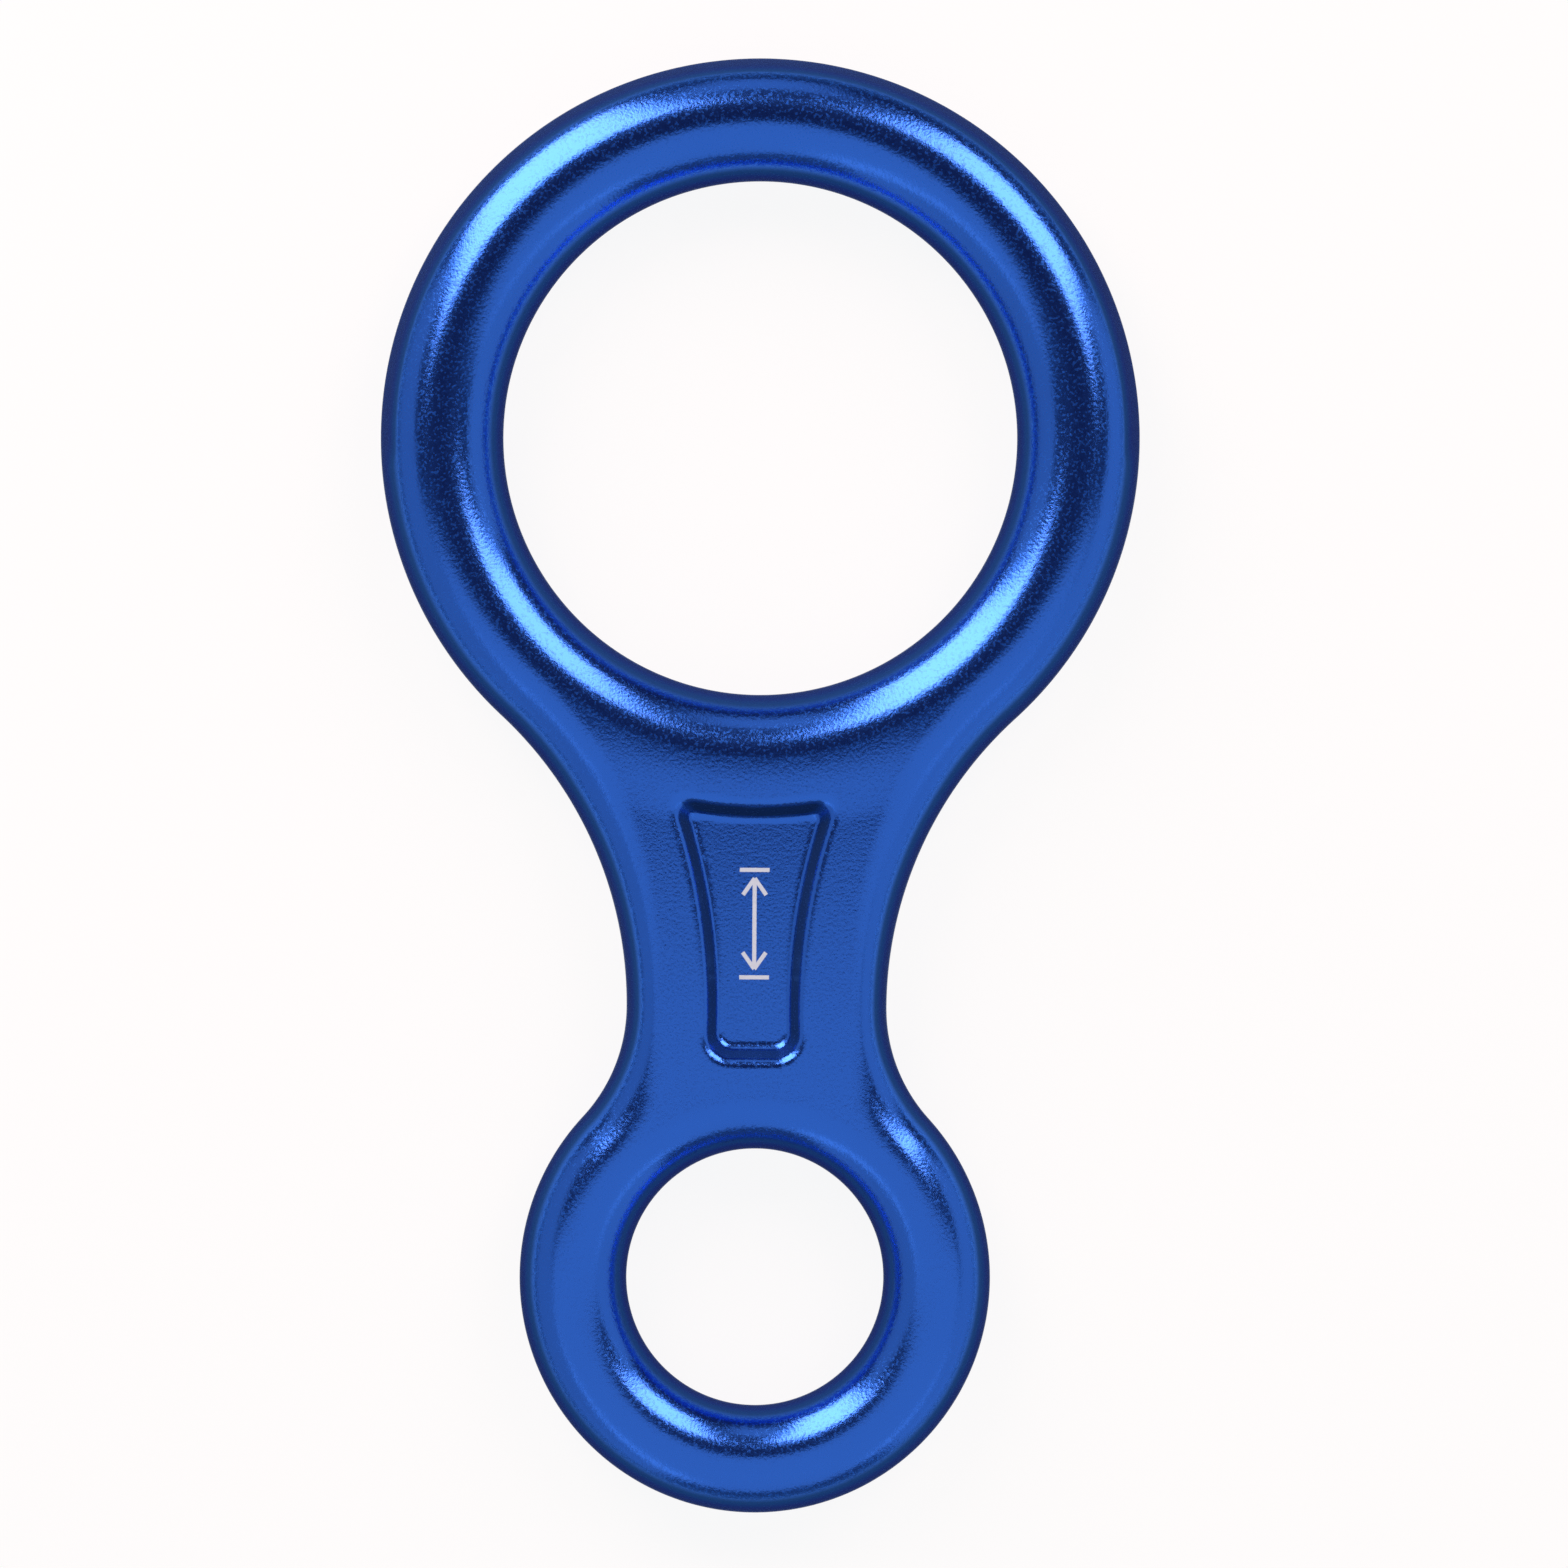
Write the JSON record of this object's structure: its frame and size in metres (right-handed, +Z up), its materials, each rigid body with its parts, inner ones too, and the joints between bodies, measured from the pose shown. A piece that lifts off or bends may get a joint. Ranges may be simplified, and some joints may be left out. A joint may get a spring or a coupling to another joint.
{
  "type": "figure eight descender",
  "caption": "Flat forged figure eight with a large round rope ring, a small attachment ring and a waisted web with a sunk panel.",
  "frame": {"origin": "under the middle of the outline, at the height of the surface that the large ring lies on", "axes": "+X across the width, +Y along the length towards the large ring, +Z up through the thickness"},
  "size_m": [0.0768, 0.1472, 0.0124],
  "materials": {
    "anodised_aluminium": "bead blasted, then anodised deep blue, with a satin to bright gloss"
  },
  "bodies": {
    "root": {"figure_eight_body": "anodised_aluminium"}
  },
  "joints": []
}
